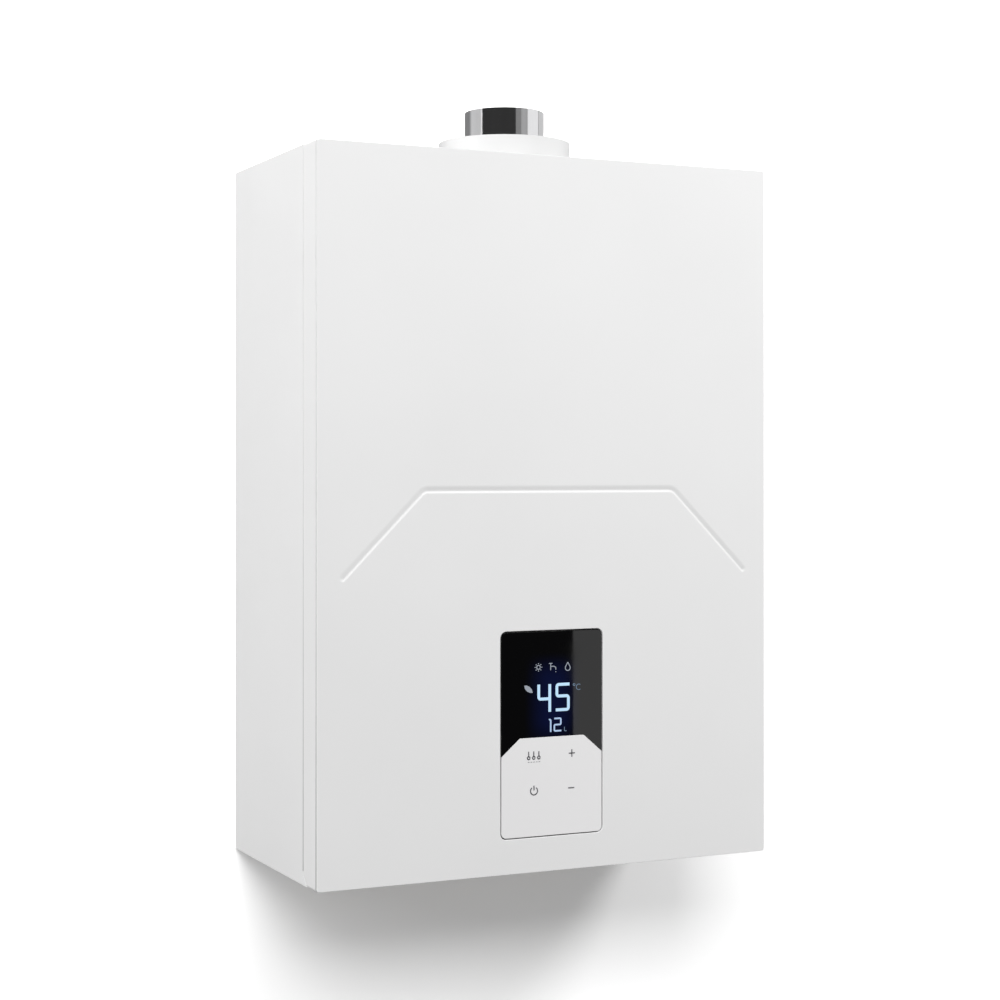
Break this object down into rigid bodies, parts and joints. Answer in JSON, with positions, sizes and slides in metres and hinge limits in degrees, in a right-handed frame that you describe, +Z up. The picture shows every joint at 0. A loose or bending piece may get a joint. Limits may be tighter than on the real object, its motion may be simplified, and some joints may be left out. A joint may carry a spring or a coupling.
{
  "type": "wall-hung gas water heater",
  "caption": "Wall-hung instantaneous gas water heater: pressed steel front with a flush control panel, concentric flue collar on top, pipe stubs below.",
  "frame": {"origin": "centre of the four wall fixing holes, on the back plane", "axes": "+Z up, +Y out of the back towards the wall, -Y out of the front, +X to the right seen from the front"},
  "size_m": [0.37, 0.185, 0.5947],
  "materials": {
    "white_enamel": "satin white powder coat",
    "zinc_steel": "zinc coated sheet",
    "chrome": "bright",
    "cast_alloy": "die cast",
    "copper": "copper, drawn",
    "brass": "machined",
    "foam": "foam seal",
    "black_plastic": "moulded",
    "white_plastic": "moulded",
    "black_glass": "gloss",
    "circuit_board": "lacquered board",
    "coil_wire": "wound and taped",
    "ceramic": "fired",
    "silicone": "smooth"
  },
  "bodies": {
    "chassis": {"rear_casing": "white_enamel", "top_plate": "white_enamel", "bottom_plate": "white_enamel", "seal_frame": "white_enamel", "mounting_rails": "zinc_steel", "cover_screws": "zinc_steel", "air_collar": "white_enamel", "flue_gaskets": "foam", "collar_screws": "zinc_steel", "exhaust_ring": "chrome", "flue_adapter": "zinc_steel", "fan_scroll": "zinc_steel", "scroll_cover": "zinc_steel", "fan_motor": "cast_alloy", "motor_coil": "coil_wire", "motor_bridges": "cast_alloy", "fan_screws": "zinc_steel", "fume_hood": "zinc_steel", "heat_cell": "copper", "exchanger_fins": "copper", "exchanger_tubes": "copper", "water_coil": "copper", "hot_pipe": "copper", "burner_box": "zinc_steel", "burner_blades": "zinc_steel", "gas_manifold": "cast_alloy", "injectors": "brass", "electrode_ceramics": "ceramic", "electrode_rods": "zinc_steel", "gas_valve_body": "cast_alloy", "valve_coils": "black_plastic", "gas_pipe": "zinc_steel", "gas_inlet": "brass", "cold_inlet": "brass", "hot_outlet": "brass", "locknuts": "brass", "union_nuts": "brass", "flow_sensor": "black_plastic", "control_box": "white_plastic", "control_board": "circuit_board", "igniter": "black_plastic", "ignition_leads": "silicone", "console_tray": "white_plastic", "display_window": "black_glass", "key_plate": "white_plastic", "display_board": "circuit_board", "console_gasket": "foam", "console_bracket": "zinc_steel", "pressure_switch": "white_plastic", "wiring_harness": "black_plastic", "cable_gland": "black_plastic"},
    "cover": {"front_panel": "white_enamel", "cover_frame": "white_enamel", "cover_gasket": "foam"},
    "fan_rotor": {"fan_impeller": "zinc_steel", "fan_shaft": "zinc_steel"},
    "turbine": {"flow_turbine": "white_plastic"},
    "main_valve": {"main_plunger": "zinc_steel"},
    "modulating_valve": {"modulating_plunger": "zinc_steel"},
    "drain": {"drain_plug": "black_plastic"}
  },
  "joints": [
    {"name": "cover_pull", "type": "slide", "parent": "chassis", "child": "cover", "axis": [0, -1, 0], "range_m": [0, 0.25]},
    {"name": "fan_spin", "type": "hinge", "parent": "chassis", "child": "fan_rotor", "pos_m": [-0.03869, -0.102, 0.17], "axis": [0, -1, 0], "continuous": true},
    {"name": "turbine_spin", "type": "hinge", "parent": "chassis", "child": "turbine", "pos_m": [0.095, -0.051, -0.22], "axis": [0, 0, 1], "continuous": true},
    {"name": "main_valve_lift", "type": "slide", "parent": "chassis", "child": "main_valve", "axis": [-1, 0, 0], "range_m": [0, 0.003], "stiffness_N_per_m": 400},
    {"name": "modulating_valve_lift", "type": "slide", "parent": "chassis", "child": "modulating_valve", "axis": [1, 0, 0], "range_m": [0, 0.003], "stiffness_N_per_m": 400},
    {"name": "drain_plug_out", "type": "slide", "parent": "chassis", "child": "drain", "axis": [0, 0, -1], "range_m": [0, 0.02]}
  ]
}
